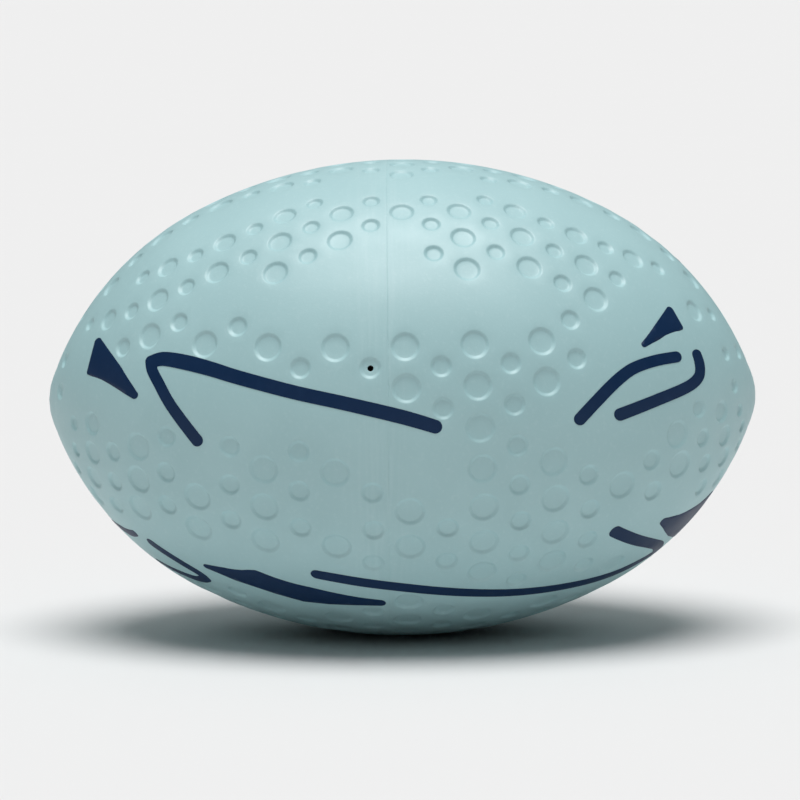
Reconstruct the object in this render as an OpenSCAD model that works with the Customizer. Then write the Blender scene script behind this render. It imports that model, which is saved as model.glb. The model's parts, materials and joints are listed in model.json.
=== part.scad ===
// Moulded rugby ball: two dimpled rubber cover halves over a wound carcass and a bladder,
// with a needle valve, a balance patch and printed ink marks.
// The long axis is X, +Z is up, the printed face with the valve looks towards -Y,
// and the origin is the centre of the ball.

/* [Ball] */
// Length from tip to tip
ball_length = 260; // [200:1:330]
// Diameter around the middle
ball_diameter = 175; // [140:1:215]
// Radius of the rounded tip
tip_radius = 22; // [16:1:28]
// Angle of the surface normal where the belly curve meets the shoulder curve
shoulder_start = 27.2; // [22:0.1:34]
// Angle of the surface normal where the shoulder curve meets the tip
tip_start = 70.7; // [64:0.1:76]

/* [Layers] */
// Thickness of the moulded cover
cover_wall = 1.6; // [1.4:0.1:3]
// Thickness of the wound yarn carcass
carcass_wall = 0.5; // [0.4:0.1:1.2]
// Thickness of the bladder
bladder_wall = 0.6; // [0.5:0.1:1.2]
// Bond line between one layer and the next
bond_gap = 0.05; // [0.02:0.01:0.2]
// Distance of the cover joint from the middle, towards the left end
joint_offset = 5; // [0:0.5:10]
// Gap between the two cover halves at the joint
joint_gap = 0.1; // [0.05:0.05:0.5]

/* [Grip dimples] */
// Distance from one column of dimples to the next, along the length
column_pitch = 13.05; // [12:0.01:17]
// Distance from one row of dimples to the next, around the middle
row_pitch = 15; // [14:0.1:19]
// Diameter of a large dimple at the surface
large_dimple = 11.1; // [9:0.1:12]
// Diameter of a small dimple at the surface
small_dimple = 8.3; // [6:0.1:9]
// Width of the sloped wall of a dimple
dimple_slope = 1.5; // [1:0.1:2]
// Depth of a dimple
dimple_depth = 0.9; // [0.4:0.05:1]
// Smooth margin between a dimple and a printed mark
print_margin = 0.2; // [0.1:0.1:3]
// Angle of the middle of the front panel above the horizontal
panel_angle = -26.2; // [-40:0.1:-15]

/* [Valve] */
// Diameter of the needle hole in the cover
needle_hole = 2.1; // [1.8:0.1:2.6]
// Diameter of the neck of the valve housing
neck_diameter = 9; // [7:0.5:12]
// Depth of the valve housing below the outer surface
housing_depth = 15; // [13:0.5:22]
// Diameter of the flange of the valve housing
flange_diameter = 22; // [16:1:30]
// Thickness of the flange of the valve housing
flange_thickness = 1.2; // [0.8:0.1:2]
// Diameter of the valve core
core_diameter = 5; // [4:0.5:6]
// Depth of the needle guide in the valve core
guide_depth = 8; // [5:0.5:9]
// Clearance around the neck of the housing
neck_clearance = 0.1; // [0.05:0.05:0.3]
// Clearance around the valve core
core_clearance = 0.05; // [0.02:0.01:0.1]
// Diameter of the patch that carries the valve
patch_diameter = 36; // [32:1:50]
// Thickness of the valve patch
patch_thickness = 0.6; // [0.4:0.1:1]
// Diameter of the balance patch opposite the valve
balance_diameter = 34; // [20:1:50]
// Thickness of the balance patch
balance_thickness = 1.5; // [0.8:0.1:3]

/* [Print] */
// Thickness of the printed ink film
film_thickness = 0.12; // [0.08:0.01:0.3]

/* [Hidden] */

facets = 144;
overcut = 1;
half_length = ball_length / 2;
half_diameter = ball_diameter / 2;

// The meridian is three arcs that meet in line: belly, shoulder and tip. The radii of the
// belly and the shoulder follow from the length and the diameter.
run_left = half_length - tip_radius * (1 - sin(tip_start));
rise_left = half_diameter - tip_radius * cos(tip_start);
belly_run = sin(shoulder_start);
belly_rise = 1 - cos(shoulder_start);
shoulder_run = sin(tip_start) - sin(shoulder_start);
shoulder_rise = cos(shoulder_start) - cos(tip_start);
determinant = belly_run * shoulder_rise - belly_rise * shoulder_run;
belly_radius = (run_left * shoulder_rise - rise_left * shoulder_run) / determinant;
shoulder_radius = (belly_run * rise_left - belly_rise * run_left) / determinant;

// Arc centres as [distance from the axis, distance along the axis]
belly_centre = [half_diameter - belly_radius, 0];
shoulder_centre = belly_centre
    + (belly_radius - shoulder_radius) * [cos(shoulder_start), sin(shoulder_start)];
tip_centre = shoulder_centre
    + (shoulder_radius - tip_radius) * [cos(tip_start), sin(tip_start)];
shoulder_x = belly_radius * sin(shoulder_start);
tip_x = shoulder_centre[1] + shoulder_radius * sin(tip_start);

// Depths of the layers below the outer surface
carcass_depth = cover_wall + bond_gap;
bladder_depth = carcass_depth + carcass_wall + bond_gap;
patch_depth = bladder_depth + bladder_wall + bond_gap;
flange_depth = patch_depth + patch_thickness + bond_gap;

// Dimple lattice. Large and small columns take turns, small rows lie half a row between
// large ones, and the columns fan out towards the middle of each panel.
last_column = 12;
first_row = -8;
last_row = 9;
fan_length = 292;
row_closing = 0.00041;
row_taper = 0.625;
row_drift = [0.0112, -0.00041];
column_shift = [2.6, -0.034];
turn_limits = [-82, 90];
right_end = 125;
dimple_closing = 0.2;
end_dimple = 0.42;
end_radius = 52;
valve_column = -1;
valve_row = 4;

// Smooth patches without dimples, as [half width, points], each point [x, angle]
SMOOTH = [
    [6, [[-65, 34], [-50, 32]]],
    [10, [[-44, 30], [-11, 29], [24, 29], [46, 31]]],
    [5, [[-11, 23], [-11, 26]]],
    [8, [[-21, 36], [-11, 40], [1, 45], [1, 35]]],
    [6, [[-60, 4], [-48, -2]]],
    [6, [[-11, -6], [2, -11], [15, -16]]],
    [6, [[-23, -2], [15, -7]]],
    [4, [[-23, -22], [-23, -23]]],
    [6, [[52, -1], [77, -10], [87, -4]]],
    [6, [[70, 24], [78, 34], [84, 46]]],
    [6, [[-102, -1], [-92, 3]]],
    [6, [[-83, -42], [-60, -41]]],
    [5, [[-36, -37], [-36, -38]]],
    [5, [[100, -36], [100, -38]]],
    [5, [[-116, 8], [-116, 29]]],
    [5, [[113, 16], [113, 21]]],
    [2, [[-103, -61], [-103, -62]]],
    [2, [[39, -56], [39, -57]]],
    [2, [[88, -40], [88, -41]]],
    [2, [[101, 29], [101, 30]]]
];

// Printed marks. Each is a list of strokes, and a stroke is a list of [x, angle, width] along
// its middle, with the angle above the horizontal. A stroke that ends where it starts is a
// filled blade with a round corner at each point.
LEFT_BLADE = [[
    [-112.1, 21.6, 2.6], [-94.9, 7.4, 2.4], [-109.3, 36.2, 2.6], [-112.1, 21.6, 2.6]
]];
CHEVRON = [
    [
        [-72.3, -6, 4.2], [-78.2, 0, 4.1], [-82.5, 5.2, 4], [-85.8, 10.7, 4], [-88.4, 15.6, 4],
        [-88.8, 18.6, 4.4]
    ],
    [
        [-88.8, 18.6, 4.4], [-84, 18.8, 5], [-75.5, 16.6, 5.4], [-66.7, 14.1, 5.2],
        [-57, 11.4, 5], [-37.8, 7.4, 4.9], [-18.9, 4.5, 4.9], [-0.1, 1.5, 5], [11.4, -0.8, 4.8]
    ]
];
WAVE = [[
    [62.2, -0.2, 4.3], [68.3, 4.6, 4.3], [75.3, 10.2, 4.3], [81.6, 14.4, 4.2],
    [89.7, 17.8, 4.1], [97.6, 20.7, 4]
]];
HOOK = [[
    [76.6, 0.4, 4.3], [83.9, 2.4, 4.2], [91.3, 4.8, 4.1], [98.8, 7.8, 4], [103.4, 10.7, 3.9],
    [105.9, 14, 3.8], [106.6, 17.2, 3.8], [106.4, 20.9, 3.8], [105.5, 24.5, 3.6]
]];
SMALL_BLADE = [[
    [85.6, 22.6, 1.8], [99.2, 34, 2.6], [95.9, 39.5, 2.6], [85.6, 22.6, 1.8]
]];
SLIVER = [[
    [-97.3, -58.2, 2.4], [-99.6, -62.9, 3], [-102.9, -68.4, 3], [-106, -75, 1.8]
]];
ARROW = [
    [
        [-90.7, -55.7, 4.2], [-81.8, -56.7, 4.2], [-74, -58.3, 4.2], [-71.6, -60.3, 4.2]
    ],
    [
        [-71.6, -60.3, 4.2], [-74.3, -63.8, 4], [-81.5, -67.9, 3.8], [-88.8, -72.5, 3.6]
    ]
];
WIDE_BLADE = [[
    [-70.6, -51.5, 2.6], [-35.8, -53.5, 4], [-8.4, -51.2, 4], [-52.7, -46.4, 3.4],
    [-70.6, -51.5, 2.6]
]];
LOWER_CHEVRON = [
    [
        [-30.8, -41.8, 4.4], [-19.8, -42.6, 4.7], [-0.5, -44.5, 4.7], [18.8, -47.6, 4.7],
        [38.3, -51.8, 4.7], [58.1, -57.1, 4.7], [74.3, -63.2, 4.7], [86.6, -68.3, 4.7],
        [92.6, -72, 4.4]
    ],
    [
        [92.6, -72, 4.4], [92.6, -64.6, 4], [89.5, -56.7, 4], [85.6, -50.5, 4.2],
        [80.3, -43.8, 4.3], [75.5, -38.6, 4.3]
    ]
];
RIGHT_BLADE = [[
    [93.4, -46.4, 2.2], [102, -84, 2.6], [112, -68, 2.6], [93.4, -46.4, 2.2]
]];
MARKS = [
    LEFT_BLADE, CHEVRON, WAVE, HOOK, SMALL_BLADE, SLIVER, ARROW, WIDE_BLADE, LOWER_CHEVRON,
    RIGHT_BLADE
];
ribbon_steps = 5;
cap_steps = 8;

// ---- Outer surface ----

// Radius of the surface at a distance x from the middle
function surface_radius(x) =
    abs(x) <= shoulder_x ? belly_centre[0] + sqrt(belly_radius ^ 2 - x ^ 2)
    : abs(x) <= tip_x ? shoulder_centre[0]
        + sqrt(shoulder_radius ^ 2 - (abs(x) - shoulder_centre[1]) ^ 2)
    : sqrt(max(0, tip_radius ^ 2 - (abs(x) - tip_centre[1]) ^ 2));

// Angle that the surface normal leans towards the tip at x
function normal_lean(x) =
    let (s = x < 0 ? -1 : 1, a = abs(x))
    a <= shoulder_x ? s * asin(a / belly_radius)
    : a <= tip_x ? s * asin((a - shoulder_centre[1]) / shoulder_radius)
    : s * asin((a - tip_centre[1]) / tip_radius);

// Distance x reached after running a length along the belly and shoulder arcs
belly_arc = belly_radius * shoulder_start * PI / 180;
function x_after_arc(s) =
    let (sign = s < 0 ? -1 : 1, a = abs(s))
    a <= belly_arc ? sign * belly_radius * sin(a / belly_radius * 180 / PI)
    : sign * (shoulder_centre[1]
        + shoulder_radius * sin(shoulder_start + (a - belly_arc) / shoulder_radius * 180 / PI));

// ---- Dimple lattice ----

// Turn of a lattice site from the middle of its panel
function row_turn(x0, row) =
    let (around = surface_radius(x0) ^ row_taper * half_diameter ^ (1 - row_taper))
    row_pitch / around * 180 / PI * row * (1 - row_closing * row ^ 2);

// The column plane fans out with the height of the surface over the panel
function fanned_x(x0, turn, x, passes) =
    passes == 0 ? x
    : fanned_x(x0, turn,
        x0 / (1 + surface_radius(x0) / fan_length)
            * (1 + surface_radius(x) * cos(turn) / fan_length),
        passes - 1);

// A lattice site as [x, angle above the horizontal, turn within the panel]
function site(column, row) =
    let (x0 = x_after_arc(column_pitch * column), turn = row_turn(x0, row))
    [
        fanned_x(x0, turn, x0, 3) + column_shift[0] + column_shift[1] * abs(turn),
        panel_angle + turn + row_drift[0] * x0 + row_drift[1] * x0 ^ 2,
        turn
    ];

// Distance over the surface from a site to a segment of a line
function flat(p, x) = [p[0], p[1] * surface_radius(x) * PI / 180];
function segment_distance(p, a, b) =
    let (
        q = flat(p, p[0]), u = flat(a, p[0]), v = flat(b, p[0]), d = v - u,
        t = min(1, max(0, (q - u) * d / (d * d)))
    )
    norm(q - u - t * d);
function line_distance(p, line) =
    min([for (i = [0:len(line) - 2]) segment_distance(p, line[i], line[i + 1])]);
function clear_of_marks(p, radius) =
    min([
        for (mark = MARKS, line = mark, i = [0:len(line) - 2])
        segment_distance(p, line[i], line[i + 1]) - max(line[i][2], line[i + 1][2]) / 2
    ]) > radius + print_margin;
function clear_of_smooth(p) =
    min([for (pad = SMOOTH) line_distance(p, pad[1]) - pad[0]]) > 0;

function is_large(column) = column % 2 == 0;
function dimple_radius(column, turn, x) =
    (is_large(column) ? large_dimple : small_dimple) / 2 * (1 - dimple_closing * (turn / 90) ^ 2)
        * min(1, end_dimple + (1 - end_dimple) * surface_radius(x) / end_radius);

// Dimples of one panel as [x, angle, radius at the surface]; the valve site is left in
DIMPLES = [
    for (column = [-last_column:last_column], step = [first_row:last_row])
    let (
        row = is_large(column) ? step - 0.5 : step,
        p = site(column, row),
        radius = dimple_radius(column, p[2], p[0])
    )
    if (
        p[0] < right_end && p[2] > turn_limits[0] && p[2] < turn_limits[1]
        && clear_of_marks(p, radius) && clear_of_smooth(p)
    )
    [p[0], p[1], radius]
];
valve_site = site(valve_column, valve_row);

// ---- Placing ----

// Stands the children on the surface at [x, angle], with +Z along the outward normal
module on_surface(x, angle) {
    rotate([90 - angle, 0, 0])
        translate([x, 0, surface_radius(x)])
            rotate([0, normal_lean(x), 0])
                children();
}

module at_valve() {
    on_surface(valve_site[0], valve_site[1]) children();
}

module both_panels() {
    for (turn = [0, 180]) rotate([turn, 0, 0]) children();
}

// ---- Solids of revolution ----

module arc_disc(centre, radius) {
    translate(centre) circle(r = radius, $fn = facets);
}

module slab(low, high) {
    translate([0, low]) square([half_diameter + 2 * overcut, high - low]);
}

// Half of the meridian section, at a depth below the outer surface
module half_section(depth) {
    shoulder_low = (belly_radius - depth) * sin(shoulder_start);
    tip_low = shoulder_centre[1] + (shoulder_radius - depth) * sin(tip_start);
    difference() {
        intersection() {
            slab(0, half_length + overcut);
            arc_disc(belly_centre, belly_radius - depth);
        }
        difference() {
            slab(shoulder_low, half_length + 2 * overcut);
            arc_disc(shoulder_centre, shoulder_radius - depth);
        }
        difference() {
            slab(tip_low, half_length + 2 * overcut);
            arc_disc(tip_centre, tip_radius - depth);
        }
    }
}

module full_section(depth) {
    half_section(depth);
    mirror([0, 1]) half_section(depth);
}

// Shell between two depths over a stretch of the axis
module shell(outer_depth, thickness, low = -half_length - overcut, high = half_length + overcut) {
    rotate([0, 90, 0])
        rotate_extrude($fn = facets)
            intersection() {
                difference() {
                    full_section(outer_depth);
                    full_section(outer_depth + thickness);
                }
                slab(low, high);
            }
}

// ---- Cover ----

// The cutter of a dimple, a flat floor with a sloped wall
module dimple(radius) {
    floor_radius = radius - dimple_slope;
    cut_height = dimple_depth * 3;
    translate([0, 0, -dimple_depth])
        cylinder(
            r1 = floor_radius, r2 = floor_radius + dimple_slope / dimple_depth * cut_height,
            h = cut_height, $fn = facets
        );
}

// The cutters of all dimples on one side of the joint, over both panels
module dimples(side) {
    for (turn = [0, 180], d = DIMPLES)
        if (side * (d[0] + joint_offset) > 0)
            rotate([turn, 0, 0])
                on_surface(d[0], d[1])
                    // The far panel's cutters on the left side start on their other side
                    rotate([0, 0, side < 0 ? turn : 0])
                        dimple(d[2]);
}

module needle_passage() {
    at_valve()
        translate([0, 0, -cover_wall * 2])
            cylinder(d = needle_hole, h = cover_wall * 3, $fn = facets);
}

module cover_left() {
    color("#c9e2e2") difference() {
        shell(0, cover_wall, high = -joint_offset - joint_gap / 2);
        dimples(-1);
        needle_passage();
    }
}

module cover_right() {
    color("#c9e2e2") difference() {
        shell(0, cover_wall, low = -joint_offset + joint_gap / 2);
        dimples(1);
    }
}

// ---- Inner layers ----

module valve_opening() {
    at_valve()
        translate([0, 0, -housing_depth])
            cylinder(d = neck_diameter + 2 * neck_clearance, h = housing_depth, $fn = facets);
}

module wound_carcass() {
    color("#e8dfc8") difference() {
        shell(carcass_depth, carcass_wall);
        valve_opening();
    }
}

module bladder() {
    color("#2b2b2d") difference() {
        shell(bladder_depth, bladder_wall);
        valve_opening();
    }
}

// A round patch that follows the wall, at a place chosen by the caller
module patch_blank(depth, thickness) {
    shell(depth, thickness, low = valve_site[0] - patch_diameter,
        high = valve_site[0] + patch_diameter);
}

module valve_patch() {
    color("#3a3a3c") difference() {
        intersection() {
            patch_blank(patch_depth, patch_thickness);
            at_valve()
                translate([0, 0, -housing_depth])
                    cylinder(d = patch_diameter, h = housing_depth, $fn = facets);
        }
        valve_opening();
    }
}

module balance_patch() {
    color("#3a3a3c") rotate([180, 0, 0]) intersection() {
        patch_blank(patch_depth, balance_thickness);
        at_valve()
            translate([0, 0, -housing_depth])
                cylinder(d = balance_diameter, h = housing_depth, $fn = facets);
    }
}

// ---- Valve ----

outlet_diameter = 1.6;
end_wall = 2.5;
// The flat top of the neck stays below the curved inner face of the cover
neck_sag = neck_diameter ^ 2 / 8 / surface_radius(valve_site[0]);
neck_top = carcass_depth + neck_sag;
core_length = housing_depth - neck_top - end_wall;

module valve_housing() {
    color("#4a4a4d") difference() {
        union() {
            intersection() {
                patch_blank(flange_depth, flange_thickness);
                at_valve()
                    translate([0, 0, -housing_depth])
                        cylinder(d = flange_diameter, h = housing_depth, $fn = facets);
            }
            at_valve()
                translate([0, 0, -housing_depth])
                    cylinder(d = neck_diameter, h = housing_depth - neck_top, $fn = facets);
        }
        at_valve() {
            translate([0, 0, -neck_top - core_length])
                cylinder(d = core_diameter, h = core_length + overcut, $fn = facets);
            translate([0, 0, -housing_depth - overcut])
                cylinder(d = outlet_diameter, h = housing_depth, $fn = facets);
        }
    }
}

module valve_core() {
    color("#b9442f") at_valve() difference() {
        translate([0, 0, -neck_top - core_length])
            cylinder(d = core_diameter - 2 * core_clearance, h = core_length, $fn = facets);
        translate([0, 0, -neck_top - guide_depth])
            cylinder(d = needle_hole, h = guide_depth + overcut, $fn = facets);
    }
}

// ---- Printed marks ----

// The mark seen along the normal at its middle angle, as [across, up, width]
function angles(mark) = [for (line = mark, p = line) p[1]];
function middle_angle(mark) = (min(angles(mark)) + max(angles(mark))) / 2;
function seen(line, middle) =
    [for (p = line) [p[0], surface_radius(p[0]) * sin(p[1] - middle), p[2]]];

// A smooth curve through the points
function curve_point(a, b, c, d, t) =
    0.5 * (2 * b + (c - a) * t + (2 * a - 5 * b + 4 * c - d) * t ^ 2
        + (3 * b - a - 3 * c + d) * t ^ 3);
function smooth_line(line) =
    let (last = len(line) - 1)
    [
        for (i = [0:last - 1], k = [0:ribbon_steps - 1])
        curve_point(line[max(0, i - 1)], line[i], line[i + 1], line[min(last, i + 2)],
            k / ribbon_steps),
        line[last]
    ];

// The outline of a ribbon with round ends along a line of [across, up, width]
function heading_between(a, b) = atan2(b[1] - a[1], b[0] - a[0]);
function heading(line, i) =
    heading_between(line[max(0, i - 1)], line[min(len(line) - 1, i + 1)]);
function beside(p, angle) = [p[0], p[1]] + p[2] / 2 * [cos(angle), sin(angle)];
function ribbon(line) =
    let (last = len(line) - 1)
    [
        for (i = [0:last]) beside(line[i], heading(line, i) - 90),
        for (k = [1:cap_steps - 1])
            beside(line[last], heading(line, last) - 90 + 180 * k / cap_steps),
        for (i = [last:-1:0]) beside(line[i], heading(line, i) + 90),
        for (k = [1:cap_steps - 1]) beside(line[0], heading(line, 0) + 90 + 180 * k / cap_steps)
    ];

// The outline of a blade with round corners at points of [across, up, width]
function rounded(line) =
    let (count = len(line) - 1)
    [
        for (i = [0:count - 1])
        let (
            start = heading_between(line[(i + count - 1) % count], line[i]) - 90,
            end = heading_between(line[i], line[i + 1]) - 90,
            bend = (end - start + 720) % 360
        )
        for (k = [0:cap_steps]) beside(line[i], start + bend * k / cap_steps)
    ];
function outline(line) =
    line[0] == line[len(line) - 1] ? rounded(line) : ribbon(smooth_line(line));

module printed(mark) {
    middle = middle_angle(mark);
    color("#14264f") both_panels() intersection() {
        shell(-film_thickness, film_thickness);
        rotate([90 - middle, 0, 0])
            linear_extrude(height = half_diameter + overcut)
                for (line = mark)
                    polygon(outline(seen(line, middle)));
    }
}

cover_left();
cover_right();
wound_carcass();
bladder();
valve_housing();
valve_core();
valve_patch();
balance_patch();
printed(LEFT_BLADE);  // print_left_blade
printed(CHEVRON);  // print_chevron
printed(WAVE);  // print_wave
printed(HOOK);  // print_hook
printed(SMALL_BLADE);  // print_small_blade
printed(SLIVER);  // print_sliver
printed(ARROW);  // print_arrow
printed(WIDE_BLADE);  // print_wide_blade
printed(LOWER_CHEVRON);  // print_lower_chevron
printed(RIGHT_BLADE);  // print_right_blade
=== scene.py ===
"""The looks of a moulded rugby ball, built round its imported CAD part.

The long axis is X, +Z is up, the printed face with the valve looks towards -Y. Sizes below are in
millimetres and angles in degrees unless a name says otherwise; meshes are made in metres.
"""

import json
import math

import bmesh
import bpy
from mathutils import Matrix, Vector
from mathutils.geometry import delaunay_2d_cdt
from mathutils.kdtree import KDTree

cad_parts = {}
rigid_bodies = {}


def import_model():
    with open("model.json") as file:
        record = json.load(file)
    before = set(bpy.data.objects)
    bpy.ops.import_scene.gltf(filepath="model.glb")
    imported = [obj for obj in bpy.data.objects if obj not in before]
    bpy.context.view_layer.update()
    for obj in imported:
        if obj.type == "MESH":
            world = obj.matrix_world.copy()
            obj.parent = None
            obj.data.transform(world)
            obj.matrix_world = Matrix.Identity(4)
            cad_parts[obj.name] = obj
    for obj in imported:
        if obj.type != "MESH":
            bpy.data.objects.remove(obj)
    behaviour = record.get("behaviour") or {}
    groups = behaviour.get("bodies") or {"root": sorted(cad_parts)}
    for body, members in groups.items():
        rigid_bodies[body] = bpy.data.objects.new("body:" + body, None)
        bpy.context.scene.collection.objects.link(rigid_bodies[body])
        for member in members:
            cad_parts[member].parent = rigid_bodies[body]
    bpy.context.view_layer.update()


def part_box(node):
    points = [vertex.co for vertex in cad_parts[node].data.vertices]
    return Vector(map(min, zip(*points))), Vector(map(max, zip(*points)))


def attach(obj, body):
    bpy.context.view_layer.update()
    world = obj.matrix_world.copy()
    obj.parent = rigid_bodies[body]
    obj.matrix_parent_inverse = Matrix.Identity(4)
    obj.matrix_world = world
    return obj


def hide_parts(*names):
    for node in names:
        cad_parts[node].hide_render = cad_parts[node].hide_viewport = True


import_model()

MM = 0.001
TURN = 2 * math.pi

# ---- Sizes that follow the CAD part ----

left_low, left_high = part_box("cover_left")
right_low, right_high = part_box("cover_right")
HALF_LENGTH = (right_high.x - left_low.x) / 2 / MM
HALF_DIAMETER = (right_high.z - right_low.z) / 2 / MM
JOINT_X = (left_high.x + right_low.x) / 2 / MM

# ---- Outline of the ball: belly, shoulder and tip arcs that meet in line ----

TIP_RADIUS = 22
SHOULDER_START = math.radians(27.2)
TIP_START = math.radians(70.7)

run_left = HALF_LENGTH - TIP_RADIUS * (1 - math.sin(TIP_START))
rise_left = HALF_DIAMETER - TIP_RADIUS * math.cos(TIP_START)
belly_run = math.sin(SHOULDER_START)
belly_rise = 1 - math.cos(SHOULDER_START)
shoulder_run = math.sin(TIP_START) - belly_run
shoulder_rise = math.cos(SHOULDER_START) - math.cos(TIP_START)
determinant = belly_run * shoulder_rise - belly_rise * shoulder_run
BELLY_RADIUS = (run_left * shoulder_rise - rise_left * shoulder_run) / determinant
SHOULDER_RADIUS = (belly_run * rise_left - belly_rise * run_left) / determinant

# Each arc as its radius, its centre along and away from the axis, and the lean where it starts
BELLY = (BELLY_RADIUS, 0, HALF_DIAMETER - BELLY_RADIUS, 0)
SHOULDER = (
    SHOULDER_RADIUS,
    (BELLY_RADIUS - SHOULDER_RADIUS) * math.sin(SHOULDER_START),
    BELLY[2] + (BELLY_RADIUS - SHOULDER_RADIUS) * math.cos(SHOULDER_START),
    SHOULDER_START,
)
TIP = (
    TIP_RADIUS,
    SHOULDER[1] + (SHOULDER_RADIUS - TIP_RADIUS) * math.sin(TIP_START),
    SHOULDER[2] + (SHOULDER_RADIUS - TIP_RADIUS) * math.cos(TIP_START),
    TIP_START,
)
SHOULDER_X = BELLY_RADIUS * math.sin(SHOULDER_START)
TIP_X = SHOULDER[1] + SHOULDER_RADIUS * math.sin(TIP_START)
BELLY_ARC = BELLY_RADIUS * SHOULDER_START
SHOULDER_ARC = BELLY_ARC + SHOULDER_RADIUS * (TIP_START - SHOULDER_START)
FULL_ARC = SHOULDER_ARC + TIP_RADIUS * (math.pi / 2 - TIP_START)


def outline_arc(x):
    """The arc of the outline that a place x along the axis lies on."""
    if abs(x) <= SHOULDER_X:
        return BELLY
    return SHOULDER if abs(x) <= TIP_X else TIP


def surface_radius(x):
    radius, along, away, _ = outline_arc(x)
    return away + math.sqrt(max(0, radius**2 - (abs(x) - along) ** 2))


def normal_lean(x):
    """Angle in radians that the surface normal leans towards the tip."""
    radius, along, _, _ = outline_arc(x)
    lean = math.asin(min(1, (abs(x) - along) / radius))
    return math.copysign(lean, x)


def length_along(x):
    """Length over the surface from the middle to x, with the sign of x."""
    lean = abs(normal_lean(x))
    arc = outline_arc(x)
    start = {BELLY: 0, SHOULDER: BELLY_ARC, TIP: SHOULDER_ARC}[arc]
    return math.copysign(start + arc[0] * (lean - arc[3]), x)


def x_after_length(length):
    run = min(abs(length), FULL_ARC)
    if run <= BELLY_ARC:
        arc, start = BELLY, 0
    elif run <= SHOULDER_ARC:
        arc, start = SHOULDER, BELLY_ARC
    else:
        arc, start = TIP, SHOULDER_ARC
    return math.copysign(arc[1] + arc[0] * math.sin(arc[3] + (run - start) / arc[0]), length)


# The stretch of the surface is the sum of length over radius, so that a map with the stretch one
# way and the angle the other keeps shapes. It is kept in even steps of length from the middle.
STRETCH_STEP = 0.05
STRETCH = [0.0]
while (len(STRETCH) + 0.5) * STRETCH_STEP < FULL_ARC:
    middle_x = x_after_length((len(STRETCH) - 0.5) * STRETCH_STEP)
    STRETCH.append(STRETCH[-1] + STRETCH_STEP / surface_radius(middle_x))


def stretch_at(x):
    place = abs(length_along(x)) / STRETCH_STEP
    i = min(int(place), len(STRETCH) - 2)
    value = STRETCH[i] + (STRETCH[i + 1] - STRETCH[i]) * min(1, place - i)
    return math.copysign(value, x)


def x_at_stretch(stretch):
    low, high = 0, len(STRETCH) - 1
    while high - low > 1:
        middle = (low + high) // 2
        low, high = (middle, high) if STRETCH[middle] <= abs(stretch) else (low, middle)
    part = (abs(stretch) - STRETCH[low]) / (STRETCH[high] - STRETCH[low])
    return math.copysign(x_after_length((low + part) * STRETCH_STEP), stretch)


def surface_point(x, angle, depth=0):
    """A point below the surface at x and an angle in radians above the horizontal, front side."""
    radius, lean = surface_radius(x), normal_lean(x)
    away = radius - depth * math.cos(lean)
    return Vector(
        (x - depth * math.sin(lean), -away * math.cos(angle), away * math.sin(angle))
    )


def angle_of(point):
    return math.atan2(point.z, -point.y)


class Site:
    """A place on the surface with its outward normal and two directions along the surface."""

    def __init__(self, x, angle):
        lean = normal_lean(x)
        out = Vector((0, -math.cos(angle), math.sin(angle)))
        self.x, self.angle = x, angle
        self.point = surface_point(x, angle)
        self.normal = Vector((math.sin(lean), 0, 0)) + out * math.cos(lean)
        self.along = Vector((math.cos(lean), 0, 0)) - out * math.sin(lean)
        self.around = self.normal.cross(self.along)

    def flat(self, distance, turn):
        """A point in the plane that touches the surface at the site."""
        return (
            self.point
            + distance * math.cos(turn) * self.along
            + distance * math.sin(turn) * self.around
        )

    def sag(self, distance, turn):
        """How far the surface lies below the touching plane."""
        start = self.flat(distance, turn)
        sag = 0
        for _ in range(3):
            p = start - sag * self.normal
            away = math.hypot(p.y, p.z)
            lean = normal_lean(p.x)
            out = Vector((math.sin(lean), *(Vector((p.y, p.z)) / away * math.cos(lean))))
            miss = (away - surface_radius(p.x)) * math.cos(lean)
            sag += miss / out.dot(self.normal)
        return sag


# ---- Grip dimples ----

COLUMN_PITCH = 13.05
ROW_PITCH = 15
LARGE_DIMPLE = 11.1
SMALL_DIMPLE = 8.3
DIMPLE_SLOPE = 1.5
DIMPLE_DEPTH = 0.9
RIM_ROUNDING = 0.15
FLOOR_ROUNDING = 0.05
PRINT_MARGIN = 0.2
PANEL_ANGLE = -26.2
LAST_COLUMN = 12
FIRST_ROW, LAST_ROW = -8, 9
FAN_LENGTH = 292
ROW_CLOSING = 0.00041
ROW_TAPER = 0.625
ROW_DRIFT = (0.0112, -0.00041)
COLUMN_SHIFT = (2.6, -0.034)
TURN_LIMITS = (-82, 90)
RIGHT_END = 125
DIMPLE_CLOSING = 0.2
END_DIMPLE, END_RADIUS = 0.42, 52
VALVE_COLUMN, VALVE_ROW = -1, 4

# Smooth pads without dimples, as half width and points of x and angle
SMOOTH = [
    (6, [(-65, 34), (-50, 32)]),
    (10, [(-44, 30), (-11, 29), (24, 29), (46, 31)]),
    (5, [(-11, 23), (-11, 26)]),
    (8, [(-21, 36), (-11, 40), (1, 45), (1, 35)]),
    (6, [(-60, 4), (-48, -2)]),
    (6, [(-11, -6), (2, -11), (15, -16)]),
    (6, [(-23, -2), (15, -7)]),
    (4, [(-23, -22), (-23, -23)]),
    (6, [(52, -1), (77, -10), (87, -4)]),
    (6, [(70, 24), (78, 34), (84, 46)]),
    (6, [(-102, -1), (-92, 3)]),
    (6, [(-83, -42), (-60, -41)]),
    (5, [(-36, -37), (-36, -38)]),
    (5, [(100, -36), (100, -38)]),
    (5, [(-116, 8), (-116, 29)]),
    (5, [(113, 16), (113, 21)]),
    (2, [(-103, -61), (-103, -62)]),
    (2, [(39, -56), (39, -57)]),
    (2, [(88, -40), (88, -41)]),
    (2, [(101, 29), (101, 30)]),
]

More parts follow.
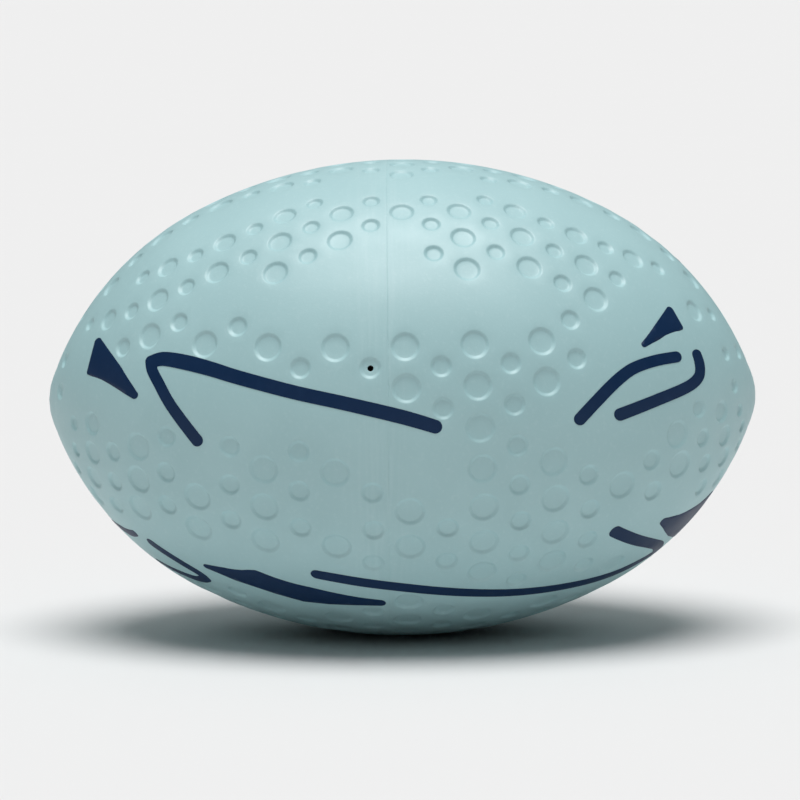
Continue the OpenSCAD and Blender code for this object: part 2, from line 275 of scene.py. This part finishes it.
# Printed marks. Each is a list of strokes, and a stroke is a list of x, angle and width along
# its middle.
MARKS = {
    "left_blade": [[
        (-112.1, 21.6, 2.6), (-94.9, 7.4, 2.4), (-109.3, 36.2, 2.6), (-112.1, 21.6, 2.6),
    ]],
    "chevron": [
        [
            (-72.3, -6, 4.2), (-78.2, 0, 4.1), (-82.5, 5.2, 4), (-85.8, 10.7, 4),
            (-88.4, 15.6, 4), (-88.8, 18.6, 4.4),
        ],
        [
            (-88.8, 18.6, 4.4), (-84, 18.8, 5), (-75.5, 16.6, 5.4), (-66.7, 14.1, 5.2),
            (-57, 11.4, 5), (-37.8, 7.4, 4.9), (-18.9, 4.5, 4.9), (-0.1, 1.5, 5),
            (11.4, -0.8, 4.8),
        ],
    ],
    "wave": [[
        (62.2, -0.2, 4.3), (68.3, 4.6, 4.3), (75.3, 10.2, 4.3), (81.6, 14.4, 4.2),
        (89.7, 17.8, 4.1), (97.6, 20.7, 4),
    ]],
    "hook": [[
        (76.6, 0.4, 4.3), (83.9, 2.4, 4.2), (91.3, 4.8, 4.1), (98.8, 7.8, 4), (103.4, 10.7, 3.9),
        (105.9, 14, 3.8), (106.6, 17.2, 3.8), (106.4, 20.9, 3.8), (105.5, 24.5, 3.6),
    ]],
    "small_blade": [[
        (85.6, 22.6, 1.8), (99.2, 34, 2.6), (95.9, 39.5, 2.6), (85.6, 22.6, 1.8),
    ]],
    "sliver": [[(-97.3, -58.2, 2.4), (-99.6, -62.9, 3), (-102.9, -68.4, 3), (-106, -75, 1.8)]],
    "arrow": [
        [(-90.7, -55.7, 4.2), (-81.8, -56.7, 4.2), (-74, -58.3, 4.2), (-71.6, -60.3, 4.2)],
        [(-71.6, -60.3, 4.2), (-74.3, -63.8, 4), (-81.5, -67.9, 3.8), (-88.8, -72.5, 3.6)],
    ],
    "wide_blade": [[
        (-70.6, -51.5, 2.6), (-35.8, -53.5, 4), (-8.4, -51.2, 4), (-52.7, -46.4, 3.4),
        (-70.6, -51.5, 2.6),
    ]],
    "lower_chevron": [
        [
            (-30.8, -41.8, 4.4), (-19.8, -42.6, 4.7), (-0.5, -44.5, 4.7), (18.8, -47.6, 4.7),
            (38.3, -51.8, 4.7), (58.1, -57.1, 4.7), (74.3, -63.2, 4.7), (86.6, -68.3, 4.7),
            (92.6, -72, 4.4),
        ],
        [
            (92.6, -72, 4.4), (92.6, -64.6, 4), (89.5, -56.7, 4), (85.6, -50.5, 4.2),
            (80.3, -43.8, 4.3), (75.5, -38.6, 4.3),
        ],
    ],
    "right_blade": [[
        (93.4, -46.4, 2.2), (102, -84, 2.6), (112, -68, 2.6), (93.4, -46.4, 2.2),
    ]],
}


def lattice_site(column, row):
    """A site of the dimple lattice as x, angle and turn from the middle of its panel."""
    x0 = x_after_length(COLUMN_PITCH * column)
    around = surface_radius(x0) ** ROW_TAPER * HALF_DIAMETER ** (1 - ROW_TAPER)
    turn = math.degrees(ROW_PITCH / around) * row * (1 - ROW_CLOSING * row**2)
    x = x0
    for _ in range(3):
        height = surface_radius(x) * math.cos(math.radians(turn))
        x = x0 * (1 + height / FAN_LENGTH) / (1 + surface_radius(x0) / FAN_LENGTH)
    x += COLUMN_SHIFT[0] + COLUMN_SHIFT[1] * abs(turn)
    return x, PANEL_ANGLE + turn + ROW_DRIFT[0] * x0 + ROW_DRIFT[1] * x0**2, turn


def distance_to_line(x, angle, a, b):
    """Distance over the surface from a place to the straight piece between a and b."""
    p, u, v = (Vector((q, math.radians(t) * surface_radius(q))) for q, t in ((x, angle), a, b))
    run = v - u
    part = min(1, max(0, (p - u).dot(run) / run.dot(run)))
    return (p - u - part * run).length


def stays_smooth(x, angle, radius):
    for half_width, line in SMOOTH:
        for a, b in zip(line, line[1:]):
            if distance_to_line(x, angle, a, b) < half_width:
                return True
    for strokes in MARKS.values():
        for line in strokes:
            for a, b in zip(line, line[1:]):
                edge = distance_to_line(x, angle, a[:2], b[:2]) - max(a[2], b[2]) / 2
                if edge < radius + PRINT_MARGIN:
                    return True
    return False


def panel_dimples():
    """The dimples of one panel as x, angle in radians and radius."""
    for column in range(-LAST_COLUMN, LAST_COLUMN + 1):
        large = column % 2 == 0
        for step in range(FIRST_ROW, LAST_ROW + 1):
            x, angle, turn = lattice_site(column, step - 0.5 if large else step)
            radius = (LARGE_DIMPLE if large else SMALL_DIMPLE) / 2
            radius *= 1 - DIMPLE_CLOSING * (turn / 90) ** 2
            radius *= min(1, END_DIMPLE + (1 - END_DIMPLE) * surface_radius(x) / END_RADIUS)
            inside = x < RIGHT_END and TURN_LIMITS[0] < turn < TURN_LIMITS[1]
            if inside and not stays_smooth(x, angle, radius):
                yield x, math.radians(angle), radius


valve_x, valve_angle, _ = lattice_site(VALVE_COLUMN, VALVE_ROW)
valve = Site(valve_x, math.radians(valve_angle))

# ---- Cover halves ----

COVER_WALL = 1.6
NEEDLE_HOLE = 2.1
HOLE_LIP = 0.2
DIMPLE_SEGMENTS = 40
SLOPE_STEPS = 7
GRID_STEP = 3
INNER_STEP = 8
FIRST_STEP = 0.8
CLEAR_OF_RING = 0.45
LEAST_RING = 8
MERGE_DISTANCE = 1e-7
JOINT_SEGMENTS = 240
JOINT_ROUNDING = 0.06
JOINT_STEPS = (0, 0.015, 0.035, 0.06, 0.5)
TIP_LINE_X = 127
TIP_LINE_DEPTH = 0.1
TIP_LINE_WIDTH = 0.5
TIP_LINE_STEPS = (-2, -1, -0.5, 0, 0.5, 1, 2)
TIP_LINE_SPACING = 1.5
DIMPLE_MARGIN = 0.45
SAME_SITE = 0.01


def smoothstep(t):
    t = min(1, max(0, t))
    return t * t * (3 - 2 * t)


def skin_depth(x, side):
    """How far the moulded skin lies below the true surface: the rounded joint edge and the
    fine line that the mould leaves round the tip."""
    from_edge = side * (length_along(x) - length_along(JOINT_X))
    gap = max(0, JOINT_ROUNDING - from_edge)
    rounding = JOINT_ROUNDING - math.sqrt(max(0, JOINT_ROUNDING**2 - gap**2))
    line = math.exp(-(((abs(x) - TIP_LINE_X) / TIP_LINE_WIDTH) ** 2))
    return rounding + TIP_LINE_DEPTH * line


class HalfMesh:
    """The mesh of one cover half: an outer skin with dimples, an inner skin and the edges."""

    def __init__(self, side, sites, hole):
        self.side = side
        self.points, self.faces = [], []
        self.sites, self.hole = sites, hole
        self.joint_stretch = side * stretch_at(JOINT_X)

    def flat(self, x, angle):
        """A round map of the half, with the tip in the middle and the joint as its rim."""
        q = math.exp(self.joint_stretch - self.side * stretch_at(x))
        return Vector((q * math.cos(angle), q * math.sin(angle)))

    def add(self, point):
        self.points.append(point)
        return len(self.points) - 1

    def bridge(self, ring_a, ring_b):
        n = len(ring_a)
        for i in range(n):
            j = (i + 1) % n
            self.faces.append((ring_a[i], ring_a[j], ring_b[j], ring_b[i]))

    def site_ring(self, site, distance, height):
        """A ring of points round a site. Height maps the sag to a height over the site."""
        ring = []
        for i in range(DIMPLE_SEGMENTS):
            turn = TURN * i / DIMPLE_SEGMENTS
            base = site.flat(distance, turn)
            ring.append(self.add(base + height(site.sag(distance, turn)) * site.normal))
        return ring

    def site_outline(self, site, distance):
        """The places on the map that the ring at a distance from a site stands for."""
        places = []
        for i in range(DIMPLE_SEGMENTS):
            turn = TURN * i / DIMPLE_SEGMENTS
            p = site.flat(distance, turn) - site.sag(distance, turn) * site.normal
            places.append(self.flat(p.x, angle_of(p)))
        return places

    def dimple(self, site, radius):
        """Adds the wall and the floor of a dimple, and returns its outermost ring."""
        outer = radius + RIM_ROUNDING
        floor = radius - DIMPLE_SLOPE - FLOOR_ROUNDING
        rings = []
        for step in range(SLOPE_STEPS + 1):
            part = step / SLOPE_STEPS
            mix = smoothstep(part)
            distance = outer + (floor - outer) * part
            rings.append(
                self.site_ring(
                    site, distance, lambda sag: -sag * (1 - mix) - DIMPLE_DEPTH * mix
                )
            )
        if site is self.hole:
            for distance, height in (
                (NEEDLE_HOLE / 2 + HOLE_LIP, 0),
                (NEEDLE_HOLE / 2 + HOLE_LIP * 0.3, -HOLE_LIP * 0.3),
                (NEEDLE_HOLE / 2, -HOLE_LIP),
            ):
                rings.append(
                    self.site_ring(site, distance, lambda sag: height - DIMPLE_DEPTH)
                )
            self.hole_ring = rings[-1]
        else:
            rings.append(self.site_ring(site, floor / 2, lambda sag: -DIMPLE_DEPTH))
            middle = self.add(site.point - DIMPLE_DEPTH * site.normal)
            last = rings[-1]
            for i in range(DIMPLE_SEGMENTS):
                self.faces.append((last[i], last[(i + 1) % DIMPLE_SEGMENTS], middle))
        for ring_a, ring_b in zip(rings, rings[1:]):
            self.bridge(ring_a, ring_b)
        return rings[0]

    def rings_of_axis(self, step):
        """Places x and counts for rings round the axis, from the joint to the tip."""
        start = self.side * length_along(JOINT_X)
        rings = [(start + offset, JOINT_SEGMENTS) for offset in JOINT_STEPS]
        run = start + JOINT_STEPS[-1] + step * FIRST_STEP
        while run < FULL_ARC - step:
            x = self.side * x_after_length(run)
            rings.append((run, max(LEAST_RING, round(TURN * surface_radius(x) / step))))
            run += step
        return [(self.side * x_after_length(run), count) for run, count in rings]

    def skin(self, rings_of_holes, depth, step):
        """Fills one skin between the joint, the tip and the rings, and returns its joint ring."""
        places, owners, indices, edges = [], [], [], []
        for owner, (ring, outline) in enumerate(rings_of_holes):
            first = len(places)
            places += outline
            indices += ring
            owners += [owner] * len(ring)
            edges += [(first + i, first + (i + 1) % len(ring)) for i in range(len(ring))]
        has_holes = len(places) > 0
        outer_skin = len(rings_of_holes) > 1
        tree = KDTree(max(1, len(places)))
        for i, p in enumerate(indices):
            tree.insert(self.points[p], i)
        tree.balance()
        middles = KDTree(max(1, len(self.sites)))
        for i, (site, _) in enumerate(self.sites):
            middles.insert(site.point, i)
        middles.balance()
        joint_ring = []

        def place(x, angle):
            places.append(self.flat(x, angle))
            indices.append(self.add(surface_point(x, angle, depth(x))))
            owners.append(-1)

        def blocked(x, angle, margin):
            p = surface_point(x, angle)
            if has_holes and tree.find(p)[2] < margin:
                return True
            near = middles.find_range(p, LARGE_DIMPLE)
            return outer_skin and any(
                distance < self.sites[i][1] + RIM_ROUNDING for _, i, distance in near
            )

        for number, (x, count) in enumerate(self.rings_of_axis(step)):
            on_edge = number == 0
            close = number < len(JOINT_STEPS)
            margin = DIMPLE_MARGIN if close else step * CLEAR_OF_RING
            shift = 0 if close else 0.5 * (number % 2)
            for i in range(count):
                angle = TURN * (i + shift) / count
                if on_edge or not blocked(x, angle, margin):
                    place(x, angle)
                    if on_edge:
                        joint_ring.append(indices[-1])
        line_x = self.side * TIP_LINE_X
        for offset in TIP_LINE_STEPS if outer_skin else ():
            count = round(TURN * surface_radius(line_x) / TIP_LINE_SPACING)
            for i in range(count):
                place(line_x + offset * TIP_LINE_WIDTH, TURN * i / count)
        places.append(Vector((0, 0)))
        tip = self.side * HALF_LENGTH
        indices.append(self.add(Vector((tip - self.side * depth(tip), 0, 0))))
        owners.append(-1)
        _, _, triangles, origins, _, _ = delaunay_2d_cdt(
            places, edges, [], 0, MERGE_DISTANCE, True
        )
        for triangle in triangles:
            corners = [origins[i][0] for i in triangle]
            owner = owners[corners[0]]
            if owner < 0 or any(owners[c] != owner for c in corners[1:]):
                self.faces.append(tuple(indices[c] for c in corners))
        return joint_ring

    def build(self, name):
        outer_rings = []
        for site, radius in self.sites:
            ring = self.dimple(site, radius)
            outer_rings.append((ring, self.site_outline(site, radius + RIM_ROUNDING)))
        outer_edge = self.skin(outer_rings, lambda x: skin_depth(x, self.side), GRID_STEP)
        inner_rings = []
        if self.hole:
            ring = self.site_ring(self.hole, NEEDLE_HOLE / 2, lambda sag: -sag - COVER_WALL)
            self.bridge(self.hole_ring, ring)
            inner_rings.append((ring, self.site_outline(self.hole, NEEDLE_HOLE / 2)))
        inner_edge = self.skin(inner_rings, lambda x: COVER_WALL, INNER_STEP)
        self.bridge(outer_edge, inner_edge)
        return new_object(name, self.points, self.faces)


# In radians: wider bends between faces are shaded as edges
SHARP_ANGLE = 0.7


def new_object(name, points, faces):
    """A smooth closed mesh object from points in millimetres."""
    mesh = bpy.data.meshes.new(name)
    mesh.from_pydata([p * MM for p in points], [], faces)
    shape = bmesh.new()
    shape.from_mesh(mesh)
    loose = [v for v in shape.verts if not v.link_faces]
    bmesh.ops.delete(shape, geom=loose, context="VERTS")
    bmesh.ops.recalc_face_normals(shape, faces=shape.faces)
    for face in shape.faces:
        face.smooth = True
    for edge in shape.edges:
        edge.smooth = edge.calc_face_angle(0) < SHARP_ANGLE
    shape.to_mesh(mesh)
    shape.free()
    made = bpy.data.objects.new(name, mesh)
    bpy.context.scene.collection.objects.link(made)
    return made


def half_sites(side):
    """The dimples of one half over both panels, moved off the joint where they would touch it."""
    sites = []
    for x, angle, radius in panel_dimples():
        if side * (x - JOINT_X) < 0:
            continue
        reach = radius + RIM_ROUNDING + JOINT_STEPS[-2] + DIMPLE_MARGIN
        x = side * max(side * x, side * JOINT_X + reach)
        at_valve = (Vector((x, angle)) - Vector((valve.x, valve.angle))).length < SAME_SITE
        sites.append((valve if at_valve else Site(x, angle), radius))
        sites.append((Site(x, angle + math.pi), radius))
    return sites


cover_halves = {}
for name, side in (("cover_left", -1), ("cover_right", 1)):
    sites = half_sites(side)
    hole = valve if any(site is valve for site, _ in sites) else None
    half = HalfMesh(side, sites, hole).build("moulded_" + name)
    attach(half, "root")
    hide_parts(name)
    cover_halves[name] = half

# ---- Printed marks ----

FILM_TOP = -0.1
FILM_BOTTOM = 0.05
MARK_STEPS = 12
CAP_STEPS = 14
MARK_GRID = 2.5
MARK_MERGE = 1e-6


def smooth_line(line):
    """Points along a smooth curve through the points of a line."""
    points = []
    last = len(line) - 1
    for i in range(last):
        a, b, c, d = (Vector(line[min(last, max(0, i + k))]) for k in (-1, 0, 1, 2))
        for k in range(MARK_STEPS):
            t = k / MARK_STEPS
            points.append(
                0.5
                * (
                    2 * b
                    + (c - a) * t
                    + (2 * a - 5 * b + 4 * c - d) * t**2
                    + (3 * b - a - 3 * c + d) * t**3
                )
            )
    return points + [Vector(line[last])]


def ribbon(line):
    """The outline of a ribbon with round ends along points of across, up and width."""
    last = len(line) - 1

    def beside(i, turn):
        a, b = line[max(0, i - 1)], line[min(last, i + 1)]
        heading = math.atan2(b.y - a.y, b.x - a.x) + turn
        return line[i].xy + line[i].z / 2 * Vector((math.cos(heading), math.sin(heading)))

    quarter = math.pi / 2
    cap = [math.pi * k / CAP_STEPS for k in range(1, CAP_STEPS)]
    return (
        [beside(i, -quarter) for i in range(last + 1)]
        + [beside(last, turn - quarter) for turn in cap]
        + [beside(i, quarter) for i in range(last, -1, -1)]
        + [beside(0, turn + quarter) for turn in cap]
    )


def rounded(corners):
    """The outline of a blade with round corners at points of across, up and width."""
    count = len(corners)
    outline = []
    for i, corner in enumerate(corners):
        before = corner.xy - corners[i - 1].xy
        after = corners[(i + 1) % count].xy - corner.xy
        start = math.atan2(before.y, before.x) - math.pi / 2
        bend = (math.atan2(after.y, after.x) - math.pi / 2 - start) % TURN
        for k in range(CAP_STEPS + 1):
            turn = start + bend * k / CAP_STEPS
            outline.append(corner.xy + corner.z / 2 * Vector((math.cos(turn), math.sin(turn))))
    return outline


def mark_outlines(strokes):
    """The outlines of the strokes on the map of stretch and angle."""
    angles = [p[1] for line in strokes for p in line]
    middle = math.radians((min(angles) + max(angles)) / 2)
    outlines = []
    for line in strokes:
        seen = [
            (x, surface_radius(x) * math.sin(math.radians(angle) - middle), width)
            for x, angle, width in line
        ]
        outline = []
        blade = seen[0] == seen[-1]
        shape = rounded([Vector(p) for p in seen[:-1]]) if blade else ribbon(smooth_line(seen))
        for across, up in shape:
            lift = min(1, max(-1, up / surface_radius(across)))
            outline.append(Vector((stretch_at(across), middle + math.asin(lift))))
        outlines.append(outline)
    return outlines


def mark_skin(strokes):
    """Triangles over a mark, as places of stretch and angle and as corner indices."""
    places, polygons = [], []
    for outline in mark_outlines(strokes):
        polygons.append(list(range(len(places), len(places) + len(outline))))
        places += outline
    low = Vector((min(p.x for p in places), min(p.y for p in places)))
    high = Vector((max(p.x for p in places), max(p.y for p in places)))
    step = MARK_GRID / HALF_DIAMETER
    tree = KDTree(len(places))
    for i, p in enumerate(places):
        tree.insert((p.x, p.y, 0), i)
    tree.balance()
    for i in range(int((high.x - low.x) / step) + 1):
        for j in range(int((high.y - low.y) / step) + 1):
            p = low + step * Vector((i, j + 0.5 * (i % 2)))
            if tree.find((p.x, p.y, 0))[2] > step / 3:
                places.append(p)
    made, _, triangles, _, _, strokes_of = delaunay_2d_cdt(
        places, [], polygons, 0, MARK_MERGE, True
    )
    return made, [t for t, inside in zip(triangles, strokes_of) if inside]


def printed_mark(name, strokes):
    """A film of ink on both panels, closed all round."""
    places, triangles = mark_skin(strokes)
    sides = {}
    for a, b, c in triangles:
        for edge in ((a, b), (b, c), (c, a)):
            sides[edge] = sides.get(edge, 0) + 1
    border = [edge for edge in sides if (edge[1], edge[0]) not in sides]
    points, faces = [], []
    for panel_turn in (0, math.pi):
        tops = len(points)
        for depth in (FILM_TOP, FILM_BOTTOM):
            for stretch, angle in places:
                x = x_at_stretch(stretch)
                points.append(surface_point(x, angle + panel_turn, depth))
        bottoms = tops + len(places)
        faces += [tuple(tops + i for i in t) for t in triangles]
        faces += [tuple(bottoms + i for i in reversed(t)) for t in triangles]
        faces += [(bottoms + a, bottoms + b, tops + b, tops + a) for a, b in border]
    film = new_object("film_" + name, points, faces)
    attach(film, "root")
    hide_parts("print_" + name)
    return film


films = [printed_mark(name, strokes) for name, strokes in MARKS.items()]

# ---- Materials ----


class Look:
    """A node material that is built up socket by socket from a Principled shader."""

    def __init__(self, name, colour, roughness):
        self.material = bpy.data.materials.new(name)
        self.material.use_nodes = True
        self.tree = self.material.node_tree
        self.shader = self.tree.nodes["Principled BSDF"]
        self.shader.inputs["Base Color"].default_value = (*colour, 1)
        self.shader.inputs["Roughness"].default_value = roughness
        self.coordinates = self.tree.nodes.new("ShaderNodeTexCoord").outputs["Object"]

    def node(self, kind, inputs=None, **settings):
        made = self.tree.nodes.new(kind)
        for key, value in settings.items():
            setattr(made, key, value)
        for key, value in (inputs or {}).items():
            self.connect(value, made.inputs[key])
        return made

    def connect(self, value, socket):
        if isinstance(value, bpy.types.NodeSocket):
            self.tree.links.new(value, socket)
        else:
            socket.default_value = value

    def math(self, operation, a, b=0.0):
        return self.node("ShaderNodeMath", {0: a, 1: b}, operation=operation).outputs[0]

    def noise(self, scale, detail=3.0, stretch=(1, 1, 1)):
        """Noise from 0 to 1, with features per metre given by the scale."""
        mapping = self.node(
            "ShaderNodeMapping", {"Vector": self.coordinates, "Scale": stretch}
        )
        made = self.node(
            "ShaderNodeTexNoise",
            {"Vector": mapping.outputs[0], "Scale": scale, "Detail": detail},
        )
        return made.outputs[0]

    def spread(self, value, low, high, new_low, new_high):
        return self.node(
            "ShaderNodeMapRange",
            {0: value, 1: low, 2: high, 3: new_low, 4: new_high},
        ).outputs[0]

    def mix(self, factor, a, b):
        """A colour between a and b."""
        made = self.node("ShaderNodeMix", data_type="RGBA")
        self.connect(factor, made.inputs[0])
        self.connect(a, made.inputs[6])
        self.connect(b, made.inputs[7])
        return made.outputs[2]

    def colour(self, value):
        self.connect(value, self.shader.inputs["Base Color"])

    def roughness(self, value):
        self.connect(value, self.shader.inputs["Roughness"])

    def bump(self, height, distance, strength=1.0):
        made = self.node(
            "ShaderNodeBump",
            {"Height": height, "Distance": distance, "Strength": strength},
        )
        self.connect(made.outputs[0], self.shader.inputs["Normal"])


def cover_look():
    """Satin moulded rubber: a faint mottle, a fine grain and faint streaks by the joint."""
    look = Look("cover_rubber", COVER_COLOUR, 0.42)
    mottle = look.spread(look.noise(30, 4), 0.35, 0.65, 0, 1)
    speck = look.spread(look.noise(700, 2), 0.55, 0.75, 0, 1)
    streaks = look.spread(look.noise(90, 3, (9, 0.5, 0.5)), 0.45, 0.75, 0, 1)
    along = look.node("ShaderNodeSeparateXYZ", {0: look.coordinates}).outputs[0]
    from_joint = look.math("ABSOLUTE", look.math("ADD", along, 0.008))
    near = look.spread(from_joint, 0.003, 0.014, 1, 0)
    tint = look.mix(mottle, (*COVER_COLOUR, 1), (*COVER_SHADE, 1))
    tint = look.mix(look.math("MULTIPLY", speck, 0.25), tint, (*COVER_LIGHT, 1))
    fade = look.math("MULTIPLY", look.math("MULTIPLY", streaks, near), 0.3)
    look.colour(look.mix(fade, tint, (*COVER_LIGHT, 1)))
    look.roughness(look.spread(look.noise(60, 4), 0.3, 0.7, 0.46, 0.53))
    look.shader.inputs["Specular IOR Level"].default_value = 0.8
    look.bump(look.noise(1400, 2), 0.00004, 0.6)
    return look.material


def ink_look():
    """Satin ink with slight wear."""
    look = Look("print_ink", INK_COLOUR, 0.45)
    wear = look.spread(look.noise(260, 5), 0.5, 0.85, 0, 0.35)
    look.colour(look.mix(wear, (*INK_COLOUR, 1), (*INK_WORN, 1)))
    look.roughness(look.spread(look.noise(90, 3), 0.3, 0.7, 0.38, 0.5))
    look.shader.inputs["Specular IOR Level"].default_value = 0.2
    look.bump(look.noise(1600, 2), 0.00003, 0.5)
    return look.material


def yarn_look():
    """Yarn wound in crossing layers."""
    look = Look("carcass_yarn", (0.72, 0.66, 0.5), 0.8)
    winds = []
    for turn in (-0.9, 0.9):
        mapping = look.node(
            "ShaderNodeMapping", {"Vector": look.coordinates, "Rotation": (0, turn, 0.3)}
        )
        wave = look.node(
            "ShaderNodeTexWave",
            {"Vector": mapping.outputs[0], "Scale": 420.0, "Distortion": 0.6},
            bands_direction="X",
        )
        winds.append(wave.outputs[1])
    crossed = look.math("MAXIMUM", winds[0], winds[1])
    look.colour(look.mix(crossed, (0.42, 0.37, 0.27, 1), (0.76, 0.7, 0.54, 1)))
    look.bump(crossed, 0.0003, 0.8)
    return look.material


def rubber_look(name, colour, light, roughness, scale):
    """Plain rubber with dusty specks."""
    look = Look(name, colour, roughness)
    dust = look.spread(look.noise(scale, 5), 0.45, 0.8, 0, 0.6)
    look.colour(look.mix(dust, (*colour, 1), (*light, 1)))
    look.roughness(look.spread(look.noise(scale / 3, 3), 0.3, 0.7, roughness - 0.08, roughness))
    look.bump(look.noise(scale * 4, 2), 0.00006, 0.6)
    return look.material


COVER_COLOUR = (0.405, 0.63, 0.655)
COVER_SHADE = (0.38, 0.6, 0.625)
COVER_LIGHT = (0.5, 0.7, 0.72)
INK_COLOUR = (0.004, 0.024, 0.075)
INK_WORN = (0.012, 0.04, 0.105)

cover_material = cover_look()
for half in cover_halves.values():
    half.data.materials.append(cover_material)
ink_material = ink_look()
for film in films:
    film.data.materials.append(ink_material)

inner_looks = {
    "wound_carcass": yarn_look(),
    "bladder": rubber_look(
        "bladder_rubber", (0.02, 0.02, 0.022), (0.07, 0.07, 0.07), 0.5, 150
    ),
    "valve_housing": rubber_look(
        "valve_rubber", (0.06, 0.06, 0.065), (0.12, 0.12, 0.12), 0.45, 300
    ),
    # The valve core's red rubber is darkened to near black: painted shade for the dark inside of
    # the needle hole
    "valve_core": rubber_look(
        "core_rubber", (0.05, 0.015, 0.012), (0.09, 0.03, 0.025), 0.5, 500
    ),
}
patch_material = rubber_look("patch_rubber", (0.03, 0.03, 0.032), (0.08, 0.08, 0.08), 0.6, 250)
inner_looks["valve_patch"] = inner_looks["balance_patch"] = patch_material
for name, material in inner_looks.items():
    for node in bpy.data.objects:
        if node.type == "MESH" and node.name.split(".")[0] == name:
            node.data.materials.clear()
            node.data.materials.append(material)

# ---- Stage, light and camera ----

FLOOR_SIZE = 60
FLOOR_GREY = 0.77
FLOOR_GRAIN = 0.002
floor_mesh = bpy.data.meshes.new("floor")
low_z = -HALF_DIAMETER * MM
ends = ((-1, -1), (1, -1), (1, 1), (-1, 1))
corners = [(x * FLOOR_SIZE, y * FLOOR_SIZE, low_z) for x, y in ends]
floor_mesh.from_pydata(corners, [], [(0, 1, 2, 3)])
floor = bpy.data.objects.new("floor", floor_mesh)
bpy.context.scene.collection.objects.link(floor)
floor_look = Look("floor_paper", (FLOOR_GREY,) * 3, 0.9)
greys = [(FLOOR_GREY + change,) * 3 + (1,) for change in (-FLOOR_GRAIN, FLOOR_GRAIN)]
floor_look.colour(floor_look.mix(floor_look.noise(8, 2), *greys))
floor_look.shader.inputs["Specular IOR Level"].default_value = 0.0
floor_mesh.materials.append(floor_look.material)

scene = bpy.context.scene
scene.view_settings.view_transform = "Standard"

world = bpy.data.worlds.new("studio")
world.use_nodes = True
scene.world = world
background = world.node_tree.nodes["Background"]
world_nodes = world.node_tree.nodes
direction = world_nodes.new("ShaderNodeTexCoord")
height = world_nodes.new("ShaderNodeSeparateXYZ")
glow = world_nodes.new("ShaderNodeMapRange")
world.node_tree.links.new(direction.outputs["Generated"], height.inputs[0])
world.node_tree.links.new(height.outputs[2], glow.inputs[0])
world.node_tree.links.new(glow.outputs[0], background.inputs["Strength"])
for socket, value in (("From Min", 0.1), ("From Max", 0.9), ("To Min", 0.0), ("To Max", 0.3)):
    glow.inputs[socket].default_value = value
background.inputs["Color"].default_value = (1, 1, 1, 1)

# Each softbox as its name, strength, width and tilt towards the camera side
for name, energy, width, tilt in (("top_softbox", 2.75, 40, 10), ("back_softbox", 0.2, 60, -35)):
    light_data = bpy.data.lights.new(name, "SUN")
    light_data.energy = energy
    light_data.angle = math.radians(width)
    light = bpy.data.objects.new(name, light_data)
    light.rotation_euler = (math.radians(tilt), 0, 0)
    scene.collection.objects.link(light)

CAMERA_DISTANCE = 1.55
CAMERA_ELEVATION = math.radians(6)
CAMERA_ROLL = math.radians(-0.43)
PICTURE_WIDTH = 0.2946
SENSOR_WIDTH = 36
camera_data = bpy.data.cameras.new("camera")
camera_data.sensor_width = SENSOR_WIDTH
camera_data.lens = SENSOR_WIDTH * CAMERA_DISTANCE / PICTURE_WIDTH
camera_data.shift_x = -0.0029
camera_data.shift_y = -0.0034
camera_data.clip_end = 200
camera = bpy.data.objects.new("camera", camera_data)
back = Vector((0, -math.cos(CAMERA_ELEVATION), math.sin(CAMERA_ELEVATION)))
roll = Matrix.Rotation(CAMERA_ROLL, 4, "Z")
turn = (-back).to_track_quat("-Z", "Y").to_matrix().to_4x4()
camera.matrix_world = Matrix.Translation(back * CAMERA_DISTANCE) @ turn @ roll
scene.collection.objects.link(camera)
scene.camera = camera
